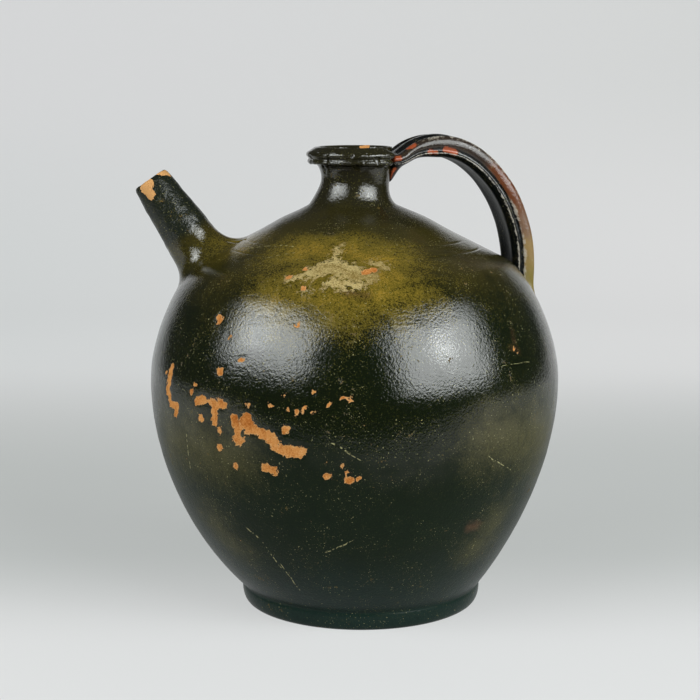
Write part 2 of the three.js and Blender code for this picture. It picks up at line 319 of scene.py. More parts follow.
layers = {  # shares of patches, speckles and rags; from, to and strength
    "low": (0, 0, 0, 0.015, 0.07, 1),  # heights in m, as in belly and cone
    "belly": (0, 0, 0, 0.08, 0.165, 1),
    "cone": (0.006, 0.012, 0, 0.262, 0.283, 1),
    "shoulder": (0.5, 0.8, 0, 0.1, 1.1, 1),
    "tube": (0.5, 0, 0, 0.05, 0.8, 0.9),
    "olive": (0.9, 1.1, 0, -0.5, 0.6, 1),
    "amber": (0.9, 1.1, 0, 0.15, 0.95, 1),
    "rust": (1.2, 0.3, 0, -0.2, 0.7, 0.7),
    "wornAndSheen": (0.9, 0.9, 0, -0.8, 0.9, 0.6),
    "mottlePale": (0.7, 1.5, 0, 0.15, 0.9, 0.32),
    "mottleDark": (-0.7, -1.5, 0, 0.06, 0.7, 0.6),
    "channelBrown": (1, 0.4, 0, 0, 0.4, 1),
    "roll": (0.5, 0.2, 0, 0.35, 0.7, 1),
    "red": (2, 1, 0, -0.3, 0.3, 0.85),
    "ridgeGlint": (0.9, 0.9, 1.6, 0.45, 0.75, 0.75),
    "gold": (0.3, 1, 0, 0.12, 0.28, 0.35),
    "crust": (3.2, 1.6, 3.4, 0.05, 0.4, 1),
    "crustShade": (1, 1, 0, -0.25, 0.35, 1),
    "chip": (0.8, 0.8, 3.2, -0.04, 0.06, 1),
    "chipRim": (0.8, 0.8, 3.2, -0.5, -0.04, 0.5),
    "chipMiddle": (0.8, 0.8, 3.2, 0.05, 0.5, 1),
    "clayDark": (1.5, 1, 0, -0.1, 0.4, 1),
    "clayPale": (-1, -1, 0, 0.05, 0.4, 1),
}
glaze = {
    "fineShare": 0.6, "grainShare": 1.3, "blotchShare": 0.6,
    "tideBroad": 0.06, "tideCloudy": 0.03,  # m by which the tints' heights wander
    "fromBelly": (0.185, 0.268), "fromNeck": (0.276, 0.286),
    "neckShare": 0.85, "coneThins": 1.1, "toneWander": 0.12,
    "goldFrom": (0.1, 0.22, 0.25, 0.9),
    "specks": (0.68, 0.72), "speckClouds": (0.42, 0.55), "tubeSpecks": 0.1, "speckShare": 0.6,
    "scratchShare": 0.7, "crustShare": 0.88, "tubePale": 0.8, "paleShare": 0.7,
    "mattCrust": 0.7, "mattSpecks": 0.6, "mattTube": 0.5,
    "shinyFrom": (0.11, 0.178, 0.1, 1),  # worn and dull below, full gloss above
    "shinyLeast": 0.75, "shinyClouds": 0.5, "coneDulls": 0.45, "neckShines": 0.5,
    "innerDulls": 0.95, "strapShine": 0.72,
    "gloss": (1.62, 0.085), "dull": (1.15, 0.34),  # refraction and roughness
    "glossClouds": (0.4, 0.1), "mattRough": 0.5,
}
relief = {  # heights in m
    "blotch": 0.00014, "cloudy": 0.0002, "fine": 0.00019, "grain": 0.00006,
    "tubeBlotch": 0.0003, "tubeFine": 0.0002,
    "crust": 0.00015, "chipDepth": 0.0003, "chipFine": 0.0001, "chipGrain": 0.00005,
}


def makeGlaze(name, scratches=(), strap=False):
    shader, g, r = Shader(name), glaze, relief
    broad, cloudy, blotch, fine, grain, ragged = (
        shader.noise(*noises[kind]) for kind in ("broad", "cloudy", "blotch", "fine", "grain", "ragged"))
    speckle = (fine - 0.5) * g["fineShare"] + (grain - 0.5) * g["grainShare"]
    patchy = (cloudy - 0.5) + (blotch - 0.5) * g["blotchShare"]
    rags = ragged - 0.5

    def spread(layer, field=0):  # where a layer shows: a field with its edge broken up
        *shares, low, high, strength = layers[layer]
        for wire, share in zip((patchy, speckle, rags), shares):
            field = wire * share + field if share else field
        return field.ramp(low, high) * strength

    def lay(under, layer, field=0):
        return shader.blend(under, colours[layer], spread(layer, field))

    tube = shader.field("tube")
    height = shader.height() + (broad - 0.5) * g["tideBroad"] + (cloudy - 0.5) * g["tideCloudy"]
    colour = lay(lay(colours["foot"], "low", height), "belly", height)
    colour = lay(colour, "shoulder", height.ramp(*g["fromBelly"]))
    cone = spread("cone", height)
    colour = shader.blend(colour, colours["neck"], cone * (1 - tube) * g["neckShare"])
    colour = lay(colour, "tube", tube)
    thin = shader.field("thin") - cone * g["coneThins"] - tube
    colour = lay(lay(colour, "olive", thin), "amber", thin)
    # rust, then the dull olive patches: partly rubbed glaze, partly painted reflection on the belly's
    # sides
    colour = lay(lay(colour, "rust", shader.field("rust")), "wornAndSheen", shader.field("wornAndSheen"))
    colour = lay(lay(colour, "mottlePale"), "mottleDark")
    if strap:
        tone = colours["strapRoot"]
        run = shader.field("run") + patchy * g["toneWander"]
        for nextTone, low, high in strapTones.values():
            tone = shader.blend(tone, linear(*nextTone), run.ramp(low, high))
        colour = lay(colours["channel"], "channelBrown")
        colour = shader.blend(colour, tone, spread("roll", shader.field("roll")))
        # painted highlights: the pale field lightens the strap's crest, ridge and arris
        colour = lay(lay(colour, "red", shader.field("chip")), "ridgeGlint", shader.field("pale"))
    gold = spread("gold") * height.ramp(*g["goldFrom"])
    colour = shader.blend(colour, colours["gold"], gold)
    clouds = (cloudy + tube * g["tubeSpecks"]).ramp(*g["speckClouds"])
    specks = shader.noise(*noises["speck"]).ramp(*g["specks"]) * clouds
    colour = shader.blend(colour, colours["speck"], specks * g["speckShare"])
    for scratch in scratches:
        colour = shader.blend(colour, colours["speck"], shader.scratch(*scratch) * g["scratchShare"])
    crust = spread("crust", shader.field("crust"))
    crazed = lay(colours["crust"], "crustShade")
    colour = shader.blend(colour, crazed, crust * g["crustShare"])
    bare, matt = 0, crust * g["mattCrust"] + specks * g["mattSpecks"] + tube * g["mattTube"]
    if not strap:
        chip = shader.field("chip")
        bare = spread("chip", chip)
        pale = spread("clayPale").larger(1 - spread("chipMiddle", chip)).larger(tube * g["tubePale"])
        clay = lay(colours["clay"], "clayDark")
        clay = shader.blend(clay, colours["clayPale"], pale * g["paleShare"])
        colour = shader.blend(lay(colour, "chipRim", chip), clay, bare)
        matt = matt + bare
    matt = matt.smaller(1)
    bumps = blotch * r["blotch"] + cloudy * r["cloudy"] + fine * r["fine"] + grain * r["grain"]
    bumps = bumps + tube * (blotch * r["tubeBlotch"] + fine * r["tubeFine"])
    bumps = bumps * (1 - bare) + crust * r["crust"] - bare * r["chipDepth"]
    normal = shader.bump(bumps + bare * (fine * r["chipFine"] + grain * r["chipGrain"]))
    neck = height.ramp(*g["fromNeck"]) * (1 - tube)
    shiny = height.ramp(*g["shinyFrom"]) * (1 - matt) * (cloudy * g["shinyClouds"] + g["shinyLeast"])
    shiny = shiny * (1 - cone * g["coneDulls"] + neck * g["neckShines"])
    shiny = shiny * (1 - shader.field("inner") * g["innerDulls"]) * (g["strapShine"] if strap else 1)
    (glossIndex, glossRough), (dullIndex, dullRough) = g["gloss"], g["dull"]
    middle, share = g["glossClouds"]
    glossy = shader.surface(colour, (cloudy - middle) * share + glossRough, normal, glossIndex)
    dull = shader.surface(colour, matt * g["mattRough"] + dullRough, normal, dullIndex)
    return shader.finish(dull, glossy, shiny.smaller(1))


bodyMarks = {  # bare patches: radius in pixels, then the pixels they run through
    "leftTallTop": (3.4, (172, 367), (169, 380), (167.5, 392)),
    "leftTallFoot": (3, (169, 394), (170.5, 404), (177, 405.5), (175.5, 414)),
    "leftDot": (1.6, (166.4, 373)),
    "pairUpper": (2.8, (194.5, 384)),
    "pairLower": (2.2, (191.6, 392)),
    "blob": (4.6, (197, 401), (204, 400)),
    "blobFoot": (3.8, (201, 418)),
    "barTop": (3.4, (211, 403), (223, 405)),
    "barStem": (3.8, (214.5, 407), (214, 421)),
    "barFoot": (3.4, (219.5, 431)),
    "below": (3.6, (219, 447)),
    "lowDot": (3, (235.6, 466.7)),
    "chainLeft": (4.8, (234, 418), (236, 428)),
    "chainLeftLow": (6.6, (238, 439.5)),
    "chainSquare": (7.6, (246, 420), (248, 428)),
    "chainArm": (5, (252, 429), (262, 434)),
    "chainMiddle": (6.2, (268, 436), (274, 441)),
    "chainLow": (5.2, (274, 447), (281, 450)),
    "chainRight": (6.2, (286, 451), (301, 452.5)),
    "aboveChain": (4.4, (285.3, 429.5)),
    "oval": (5.2, (265.5, 468), (274, 471.5)),
    "speckA": (2.4, (248, 405)),
    "speckB": (2.5, (269.7, 404.6)),
    "speckC": (1.8, (283, 397)),
    "speckD": (1.6, (287, 410)),
    "speckE": (2.8, (296.8, 413)),
    "speckF": (1.8, (304.7, 409)),
    "speckG": (1.8, (313.6, 391.7)),
    "speckH": (1.7, (314.4, 412)),
    "speckI": (1.9, (329.4, 404.6)),
    "speckJ": (1.9, (344, 396.6)),
    "speckK": (2.1, (349.6, 399.7)),
    "speckL": (3.5, (326.6, 476)),
    "speckM": (1.9, (341.5, 467)),
    "speckN": (1.7, (347.6, 473)),
    "speckO": (4.4, (348, 480), (351, 480)),
    "speckP": (2, (359, 478.5)),
    "speckQ": (2.6, (240.5, 360)),
    "speckR": (4.6, (219.5, 371.4)),
    "speckS": (4.2, (219.6, 317), (219.6, 320)),
    "speckT": (2, (297, 324.7)),
    "speckU": (1.6, (229.4, 337.6)),
    "crustChipA": (3.6, (365, 272), (373, 270)),
    "rightMark": (0.9, (513.5, 348), (518.5, 352)),
    "rimChip": (1.6, (362, 146.4), (368, 146.2)),
    "crustChipB": (2.4, (289, 277)),
    "crustChipC": (2.6, (303, 288)),
    "crustChipD": (2, (305, 269)),
}
crustPatches = {  # the crazed beige crust
    "middle": (15, (316, 272), (334, 265), (352, 272)),
    "left": (8, (292, 279), (306, 275)),
    "low": (10, (332, 282), (356, 285)),
    "top": (7, (338, 248), (336, 258)),
    "right": (6, (374, 262), (386, 267)),
    "chipFoot": (6, (362, 280), (372, 276)),
    "scraps": (4, (300, 290), (309, 292)),
}
thinPatches = {  # where the glaze ran thin
    "amber": (25, (300, 250), (345, 252), (388, 263)),
    "amberLow": (24, (300, 276), (392, 276)),
    "olive": (17, (276, 298), (408, 294)),
    "valley": (9, (220, 240), (252, 242)),
}
rustPatches = {
    "low": (9, (470, 527), (476, 526)),
    "streak": (2, (511, 348), (519, 352)),
    "right": (2, (511, 330), (514, 342)),
    "crustFoot": (7, (346, 292), (366, 296)),
    "mark": (2, (476, 572)),
}
wornAndSheenPatches = {  # rubbed to a dull olive; the wide left and right patches on the belly's sides are partly painted reflection of the floor
    "left": (20, (172, 440), (228, 452)),
    "right": (20, (490, 436), (545, 438)),
    "lowLeft": (3, (212, 520), (234, 545)),
    "lowRight": (2, (478, 545), (496, 520)),
}
patchSets = {"crust": crustPatches, "thin": thinPatches, "rust": rustPatches, "wornAndSheen": wornAndSheenPatches}
paintReach = {  # mm outside a mark's edge and mm inside it up to the full value
    "chip": (8, 1), "handleChip": (8, 2),
    "crust": (12, 6), "thin": (60, 50), "rust": (12, 8), "wornAndSheen": (60, 36),
}
smallMark = (4, 0.7)  # marks under this many pixels are widened by this many
scratchLines = {  # from pixel to pixel, then half the width in mm
    "lowLeftUpper": ((241, 523), (262, 541), 0.5),
    "lowLeftMiddle": ((262, 541), (283, 570), 0.5),
    "lowLeftEnd": ((280, 563), (300, 591), 0.45),
    "lowMiddle": ((324, 554), (355, 538.5), 0.5),
    "middle": ((326, 439.5), (351, 454), 0.6),
    "middleFoot": ((345, 452), (362, 462), 0.35),
    "right": ((488, 456), (512, 470), 0.35),
    "farRight": ((500, 366), (530, 362), 0.2),
    "left": ((186, 428), (191, 470), 0.35),
    "shoulder": ((244, 249), (296, 246), 0.35),
    "shoulderLow": ((262, 259), (300, 252), 0.3),
}


def markSpots(tree, patches):  # points on the surface, a pixel apart, with radii in m
    spots = []
    for radius, *route in patches.values():
        radius += smallMark[1] if radius < smallMark[0] else 0
        ends = route if len(route) > 1 else route * 2
        for start, end in zip(ends, ends[1:]):
            steps = max(int(math.dist(start, end)), 1)
            for i in range(steps + 1):
                pixel = (start[0] + (end[0] - start[0]) * i / steps,
                         start[1] + (end[1] - start[1]) * i / steps)
                hit, _, _, distance = tree.ray_cast(camera.location, sightLine(pixel))
                if hit:
                    spots.append((hit, radius * distance / view["focalPixels"]))
    return spots


def paint(mesh, name, spots, reach, falloff):  # field is 1 at falloff inside the edge, 0 on it
    reach, falloff = reach * mm, falloff * mm
    points = KDTree(len(mesh.vertices))
    for vertex in mesh.vertices:
        points.insert(vertex.co, vertex.index)
    points.balance()
    values = [-1.0] * len(mesh.vertices)
    for middle, radius in spots:
        for _, index, distance in points.find_range(middle, radius + reach):
            values[index] = max(values[index], min((radius - distance) / falloff, 1))
    attribute = mesh.attributes.new(name, "FLOAT", "POINT")
    attribute.data.foreach_set("value", values)
    return values


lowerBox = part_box("lower_body")
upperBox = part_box("upper_body")
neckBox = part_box("neck_collar")
handle = {  # a pulled strap from neck to shoulder, in mm
    "turn": 16.6,
    "width": 38, "tailWidth": 32,
    "rootThickness": 8.2, "thickness": 16, "tailThickness": 17.3,
    "ribHollow": 2.0, "innerHollow": 0.8,
    "topReach": 58.2, "rootOut": 1.9, "rootLevel": 0.28,
    "tailReach": 121.4, "tailHeight": 225, "tailDepth": 17,
    "rootFlare": 0.12, "flareLength": 8,
    "fillet": (12, 3.0), "brow": (2.4, 3.2),  # height and reach of the clay smoothed onto the neck
    "filletMiddle": (8, 19),
    "tailSpread": 0.25, "tailRise": 2.2, "tailReachUp": 7,
    "swell": 0.035, "sideways": 0.4, "ripple": 0.2,  # how unevenly it was pulled
    "steps": 120,
}
body = {  # foot, belly, conical shoulder, neck and rim in one skin, in mm
    "facets": 336,
    "footRadius": 84, "footEdge": 4, "footHeight": 12.8, "footWaist": 0.5,
    "baseThickness": 10,
    "wall": 7,
    "lean": 4.6, "leanBend": 5.2,
    "bellyRadius": (lowerBox[1][1] - lowerBox[0][1]) / 2 / mm,
    "bellyHeight": lowerBox[1][2] / mm,
    "bellyPulls": (0.213, 0.603, 0.415),  # how far the curve is drawn out
    "shoulderInset": 36.2, "shoulderSlope": 26.6, "shoulderTurn": 0.366,
    "coneSteps": (2.2, 0.6, 3),  # rows on the cone: coarse, fine, margin
    "neckFootRadius": 28, "neckFootHeight": upperBox[1][2] / mm, "flareReach": 3,
    "incisedInsets": (18.5, 30), "incisedDepth": 0.45, "incisedWidth": 1.8,
    "neckRadius": 23.9, "neckWaistRise": 14.8, "neckWall": 5.2,
    "neckLean": ((-8, 0), (2, -1.6), (19, 1.0), (29, 0.15)),  # height over the neck's foot, shift
    "coneSwell": (0.9, 50, 11),  # the cone swells by this at this radius, over this reach
    "rimTop": neckBox[1][2] / mm, "rimHeight": 12.6, "rimSlope": 3,
    "lowerBeadRadius": 32.6, "upperBeadRadius": 33.4, "beadGroove": 0.8,
    "rimCrownRadius": 26, "rimCoreRadius": 25.5, "lipWidening": 3.5,
    "pressedWidth": (20, 27),  # the beads fade out this far from the strap's middle
    "unevenness": 0.45,
}


def coneHeight(radius):
    slope = math.tan(degrees(body["shoulderSlope"]))
    return body["neckFootHeight"] - (radius - body["neckFootRadius"]) * slope


def part(low, high, share):
    return low + (high - low) * share


def leanShift(z):  # the body leans off its foot towards the spout
    share = min(max((z - body["footHeight"]) / (body["bellyHeight"] - body["footHeight"]), 0), 1)
    return -body["lean"] * (1 - (1 - share) ** body["leanBend"])


def neckShift(z):  # the neck leans the other way, towards the handle
    stops = body["neckLean"]
    return sum((after - before) * smoothStep(z - body["neckFootHeight"], low, high)
               for (low, before), (high, after) in zip(stops, stops[1:]))


def bodyOutline():
    b = body
    footRadius, footHeight = b["footRadius"], b["footHeight"]
    belly = (b["bellyRadius"], b["bellyHeight"])
    wallStart = (footRadius - b["footWaist"], footHeight)
    footSide = (footRadius, footHeight * 0.72)
    foot = joined(line((0, 0), (footRadius - b["footEdge"], 0), 12),
                  bezier([(footRadius - b["footEdge"], 0), (footRadius - 1.4, 0.2),
                          (footRadius - 0.2, footHeight * 0.4), footSide], 9),
                  bezier([footSide, (footRadius + 0.1, footHeight * 0.9),
                          (wallStart[0] - 0.2, footHeight * 0.93), wallStart], 5))
    lowerPull, bellyPull, upperPull = b["bellyPulls"]
    lower = bezier([wallStart,
                    (part(wallStart[0], belly[0], 0.5), part(footHeight, belly[1], lowerPull)),
                    (belly[0], part(footHeight, belly[1], bellyPull)), belly], 76)
    shoulderRadius = b["bellyRadius"] - b["shoulderInset"]
    shoulderHeight = coneHeight(shoulderRadius)
    turn = part(shoulderRadius, belly[0], b["shoulderTurn"])
    upper = bezier([belly, (belly[0], part(belly[1], shoulderHeight, upperPull)),
                    (turn, coneHeight(turn)), (shoulderRadius, shoulderHeight)], 44)
    outerLine, innerLine = (shoulderRadius - inset for inset in b["incisedInsets"])
    coarse, fine, margin = b["coneSteps"]
    radii = [*[shoulderRadius - coarse * i for i in range(7)],
             *[outerLine + margin - fine * i
               for i in range(int((outerLine - innerLine + 2 * margin) / fine) + 1)]]
    flareRadius = b["neckFootRadius"] + b["flareReach"]
    flareFoot = (flareRadius, coneHeight(flareRadius))
    radii += [part(radii[-1], flareRadius, (i + 1) / 18) for i in range(17)]
    cone = [(r, coneHeight(r)) for r in radii]
    neckFoot = (b["neckFootRadius"], b["neckFootHeight"])
    waist = (b["neckRadius"], b["neckFootHeight"] + b["neckWaistRise"])
    rimFoot = b["rimTop"] - b["rimHeight"]
    runOn = part(neckFoot[0], waist[0], -0.05)
    flare = bezier([flareFoot, (runOn, coneHeight(runOn)),
                    (waist[0], part(neckFoot[1], waist[1], 0.61)), waist], 14)
    rise = bezier([waist, (waist[0], part(waist[1], rimFoot, 0.45)),
                   (waist[0] + 0.8, part(waist[1], rimFoot, 0.75)), (waist[0] + 3, rimFoot)], 6)
    bead = (b["rimHeight"] - b["rimSlope"]) / 2
    lowerRadius, upperRadius, rimTop = b["lowerBeadRadius"], b["upperBeadRadius"], b["rimTop"]
    groove = min(lowerRadius, upperRadius) - b["beadGroove"]
    crown = (b["rimCrownRadius"], rimTop)
    beads = joined(arc((lowerRadius - bead / 2, rimFoot + bead / 2), bead / 2, -60, 52, 8),
                   [(groove, rimFoot + bead)],
                   arc((upperRadius - bead / 2, rimFoot + bead * 1.5), bead / 2, -48, 62, 9),
                   bezier([(upperRadius - bead * 0.27, rimFoot + bead * 1.95),
                           (upperRadius - bead * 0.6, rimFoot + bead * 2.1),
                           (crown[0] + 1.5, rimTop), crown], 6))
    bore = b["neckRadius"] - b["neckWall"]
    lipInside = bore + b["lipWidening"]
    inside = bezier([crown, (lipInside + 1, rimTop), (lipInside, rimTop - 1),
                     (lipInside - 0.2, rimTop - 4)], 7)
    inside = joined(inside, bezier([inside[-1], (lipInside - 0.5, rimFoot + 3), (bore, rimFoot + 2),
                                    (bore, rimFoot - 3)], 6))
    throat = [(bore, b["neckFootHeight"] + 6), (bore + 0.1, b["neckFootHeight"])]
    shell = joined(lower[::5], upper[::5], [(shoulderRadius, shoulderHeight), neckFoot])
    inner = [p for p in offsetOutline(shell, -b["wall"]) if p[1] > b["baseThickness"] + 7
             and p[0] > throat[-1][0] + 3]
    floor = [(inner[0][0] - 4, b["baseThickness"] + 3), (inner[0][0] - 11, b["baseThickness"]),
             (40, b["baseThickness"]), (0, b["baseThickness"])]
    return joined(foot, lower, upper, cone, flare, rise, beads, inside, throat, inner[::-1], floor)


def incisedCut(radius, angle):  # depth of the two scratched lines at a point of the shoulder
    cut = 0
    for i, inset in enumerate(body["incisedInsets"]):
        middle = body["bellyRadius"] - body["shoulderInset"] - inset
        wobble = 1.1 * rough(math.cos(angle), math.sin(angle), i * 3, 1.3)
        off = abs(radius - middle - wobble) / (body["incisedWidth"] / 2)
        fade = rough(math.cos(angle) * 3, math.sin(angle) * 3, 7 + i)
        depth = body["incisedDepth"] * (0.2 + 0.8 * smoothStep(fade, -0.35, 0.1))
        cut = max(cut, depth * max(1 - off * off, 0))
    return cut


thrown = {  # how the potter's hand shows, in mm and in turns of noise per mm
    "swayScale": 0.012, "swayFine": 0.035, "fineShare": 0.4, "swayFrom": (2, 20),
    "ringDepth": 0.12, "ringRound": 0.4, "ringPitch": 0.11, "ringsFrom": (16, 40),
    "coneFrom": 200,
    "pressedFrom": (0, 6),
    "outOfRound": 0.45, "roundTurn": 0.8, "rimInset": 0.3, "rimWave": 0.5, "waveScale": 0.16,
    "nickDepth": 1.2, "nickScale": 0.3, "nicks": (0.3, 0.6),
    "topWorn": 0.25,
}


def shapeBody(bm):
    b, t = body, thrown
    rimFoot = b["rimTop"] - b["rimHeight"]
    toHandle = Vector((math.cos(degrees(handle["turn"])), math.sin(degrees(handle["turn"]))))
    for vertex in bm.verts:
        x, y, z = (value / mm for value in vertex.co)
        radius = math.hypot(x, y)
        if radius < 0.5:
            vertex.co.x += leanShift(z) * mm
            continue
        angle = math.atan2(y, x)
        if z > rimFoot - 2 and radius > b["rimCoreRadius"]:  # pressed back where the handle is luted on
            ahead = x * toHandle.x + y * toHandle.y
            aside = abs(x * toHandle.y - y * toHandle.x)
            pressed = (1 - smoothStep(aside, *b["pressedWidth"])) * smoothStep(ahead, *t["pressedFrom"])
            shrink = part(1, b["rimCoreRadius"] / radius, pressed)
            vertex.co.x *= shrink
            vertex.co.y *= shrink
        push = 0.0
        if vertex.normal.x * x + vertex.normal.y * y > 0 or z > b["neckFootHeight"]:
            sway = rough(x, y, z, t["swayScale"]) + t["fineShare"] * rough(x, y, z, t["swayFine"])
            push -= b["unevenness"] * (0.5 + 0.5 * sway) * smoothStep(z, *t["swayFrom"])
            across = t["ringRound"]
            rings = rough(math.cos(angle) * across, math.sin(angle) * across, z * t["ringPitch"])
            push -= t["ringDepth"] * (1 + rings) * smoothStep(z, *t["ringsFrom"])
            shoulderRadius = b["bellyRadius"] - b["shoulderInset"]
            if b["neckFootRadius"] < radius < shoulderRadius and z > t["coneFrom"]:
                swell, middle, reach = b["coneSwell"]
                push += swell * math.exp(-((radius - middle) / reach) ** 2) - incisedCut(radius, angle)
        if z > rimFoot - 4:  # the rim was pressed a little out of round and nicked
            push += t["outOfRound"] * math.cos(2 * angle + t["roundTurn"]) - t["rimInset"]
            push += t["rimWave"] * rough(x, y, z, t["waveScale"])
            push -= t["nickDepth"] * smoothStep(rough(x, y, z * 0.5, t["nickScale"]), *t["nicks"])
        flat = smoothStep(z, rimFoot, b["rimTop"])
        vertex.co += vertex.normal * Vector((1, 1, 1 - flat)) * push * mm
        vertex.co.z -= t["topWorn"] * mm * flat
        vertex.co.x += leanShift(z) * mm
        vertex.co.x += neckShift(z) * mm


def makeBody():
    bm = bmesh.new()
    spinOutline(bm, bodyOutline(), body["facets"])
    bm.normal_update()
    shapeBody(bm)
    return pieceFrom(bm, "jug_body", "dark_glaze", "lower_body", "upper_body", "neck_collar")


jugBody = makeBody()
print("body made", len(jugBody.data.polygons), "faces")

spout = {
    "facets": 96,
    "rootInset": 1.5, "tilt": 33.8, "length": 65.1,
    "tipRadius": 12.7, "taper": 5.9, "tipBore": 8.2, "rootBore": 12,
    "inset": 9, "blend": 14, "blendUpper": 3,  # how far the clay is smeared out onto the shoulder
    "buried": 0.1, "lip": 2.2,
    "facetDepth": 0.5, "facetScale": 0.05, "lumpDepth": 0.3, "lumpScale": 0.2, "lumpsFrom": (4, 20),
    "tubeFrom": (12, 30),
    "cutterDepth": 44, "cutterFacets": 48,
}


def spoutPlace():
    radius = body["bellyRadius"] - body["shoulderInset"] - spout["rootInset"]
    root = Vector((-radius - body["lean"], 0, coneHeight(radius))) * mm
    return Matrix.Translation(root) @ Matrix.Rotation(-degrees(spout["tilt"]), 4, "Y")


def spoutOuter(along):
    return spout["tipRadius"] + (spout["length"] - along) * math.tan(degrees(spout["taper"]))


def makeSpout():
    s = spout

    def bore(along):
        return part(s["rootBore"], s["tipBore"], along / s["length"])

    straight = s["length"] - s["lip"]  # up to where the lip rounds off
    wall = [(spoutOuter(along), along) for along in
            [-s["inset"] + (s["length"] + s["inset"] - s["lip"]) * i / 64 for i in range(65)]]
    lip = arc((s["tipRadius"] - s["lip"], straight), s["lip"], 0, 120, 8)
    inside = [(bore(along), along) for along in
              [straight - (straight + s["inset"]) * i / 20 for i in range(21)]]
    bm = bmesh.new()
    spinOutline(bm, joined(wall, lip, inside), s["facets"])
    bm.normal_update()
    tubeField = bm.verts.layers.float.new("tube")
    tree = surfaceTree(jugBody.data)
    place = spoutPlace()
    inverse = place.inverted()
    feet = {}

    def foot(angle):  # where this side meets the shoulder and spreads
        key = round(angle, 3)
        if key not in feet:
            side = Vector((math.cos(angle), math.sin(angle), 0))
            tip, root = (place @ ((side * spoutOuter(along) + Vector((0, 0, along))) * mm)
                         for along in (s["length"], -s["inset"]))
            hit, normal, _, _ = tree.ray_cast(tip, (root - tip).normalized())
            reach = (s["blend"] + s["blendUpper"] * math.cos(angle)) * mm
            outward = place.to_3x3() @ side
            outward = (outward - normal * outward.dot(normal)).normalized()
            spread, spreadNormal, _, _ = tree.find_nearest(hit + outward * reach)
            top = hit + (tip - root).normalized() * reach
            feet[key] = (spread - spreadNormal * s["buried"] * mm, hit, top, (inverse @ top).z)
        return feet[key]

    for vertex in bm.verts:  # gentle facets, and a foot smeared out
        along = vertex.co.z / mm
        spot = vertex.co / mm
        radius, angle = math.hypot(spot.x, spot.y), math.atan2(spot.y, spot.x)
        push = s["facetDepth"] * rough(*spot, s["facetScale"])
        push += s["lumpDepth"] * rough(*spot, s["lumpScale"])
        shift = vertex.normal * push * mm * smoothStep(along, *s["lumpsFrom"])
        vertex[tubeField] = smoothStep(along, *s["tubeFrom"])
        if radius > (spoutOuter(along) + bore(along)) / 2 and along < straight - 1:
            spread, hit, top, topAlong = foot(angle)
            t = min((vertex.co.z + s["inset"] * mm) / (topAlong + s["inset"] * mm), 1)
            if t < 1:
                vertex.co = inverse @ (spread * (1 - t) ** 2 + hit * 2 * t * (1 - t) + top * t * t)
        vertex.co += shift
    bmesh.ops.transform(bm, matrix=place, verts=bm.verts)
    return pieceFrom(bm, "jug_spout", "dark_glaze", "spout_tube", "spout_lute")


def cutSpoutHole():
    bm = bmesh.new()
    bmesh.ops.create_cone(bm, cap_ends=True, segments=spout["cutterFacets"],
                          radius1=spout["rootBore"] * mm, radius2=spout["rootBore"] * mm,
                          depth=spout["cutterDepth"] * mm)
    bmesh.ops.transform(bm, matrix=spoutPlace(), verts=bm.verts)
    cutter = objectFrom(bm, "boreCutter")
    cutter.data.shade_flat()
    cut = jugBody.modifiers.new("bore", "BOOLEAN")
    cut.operation, cut.solver, cut.object = "DIFFERENCE", "EXACT", cutter
    graph = bpy.context.evaluated_depsgraph_get()
    holed = bpy.data.meshes.new_from_object(jugBody.evaluated_get(graph))
    jugBody.modifiers.clear()
    jugBody.data = holed
    holed.name = "jug_body"
    bpy.data.objects.remove(cutter)


cutSpoutHole()
jugSpout = makeSpout()
print("spout made")


def strapLine():  # middle line in the handle's own plane, evenly spaced, in mm
    h, b = handle, body
    rimFoot = b["rimTop"] - b["rimHeight"]
    root = (b["neckRadius"] + h["rootOut"], rimFoot + b["rimHeight"] * h["rootLevel"])
    top = (h["topReach"], b["rimTop"])
    tail = (h["tailReach"], h["tailHeight"])
    stretches = [line((b["neckRadius"] - b["neckWall"] / 2, root[1]), root, 8),
                 bezier([root, (part(root[0], top[0], 0.31), part(root[1], top[1], 0.12)),
                         (part(root[0], top[0], 0.27), top[1]), top], 70),
                 bezier([top, (part(top[0], tail[0], 0.52), top[1]),
                         (tail[0] + 3.5, part(top[1], tail[1], 0.47)), tail], 120),
                 line(tail, (tail[0] - 1.5, tail[1] - h["tailDepth"]), 20)]
    points, lengths, marks = [stretches[0][0]], [0], []
    for stretch in stretches:
        for point in stretch[1:]:
            lengths.append(lengths[-1] + math.dist(points[-1], point))
            points.append(point)
        marks.append(lengths[-1])
    spaced, k = [], 0
    for i in range(h["steps"] + 1):
        target = lengths[-1] * i / h["steps"]
        while k < len(points) - 2 and lengths[k + 1] < target:
            k += 1
        share = (target - lengths[k]) / (lengths[k + 1] - lengths[k])
        spaced.append(tuple(part(low, high, share) for low, high in zip(points[k], points[k + 1])))
    return spaced, marks


def strapSection():  # closed outline, from the middle rib round both sides
    h = handle
    half, top = h["width"] / 2, h["thickness"] / 2
    rib, hollow = h["ribHollow"], h["innerHollow"]
    side = [(0, top), (0.1, top - 0.05), (0.2, top - 0.5), (0.3, top - 1.4), (0.4, top - rib),
            (0.5, top - rib * 1.02), (0.6, top - rib * 0.75), (0.68, top - rib * 0.42),
            (0.76, top - rib * 0.35), (0.84, top - rib * 0.55), (0.91, top * 0.78), (0.96, top * 0.6),
            (0.985, top * 0.4), (0.992, top * 0.2), (0.985, 0.02 * top), (0.965, -top * 0.09),
            (0.93, -top * 0.17), (0.915, -top * 0.28), (0.92, -top * 0.4), (0.95, -top * 0.5),
            (0.985, -top * 0.57), (0.985, -top * 0.63), (0.93, -top * 0.74), (0.84, -top * 0.9),
            (0.7, -top), (0.55, -top + 0.15), (0.35, -top + hollow * 0.8), (0.17, -top + hollow),
            (0, -top + hollow)]
    right = [(share * half, y) for share, y in side]
    return right + [(-x, y) for x, y in right[-2:0:-1]]


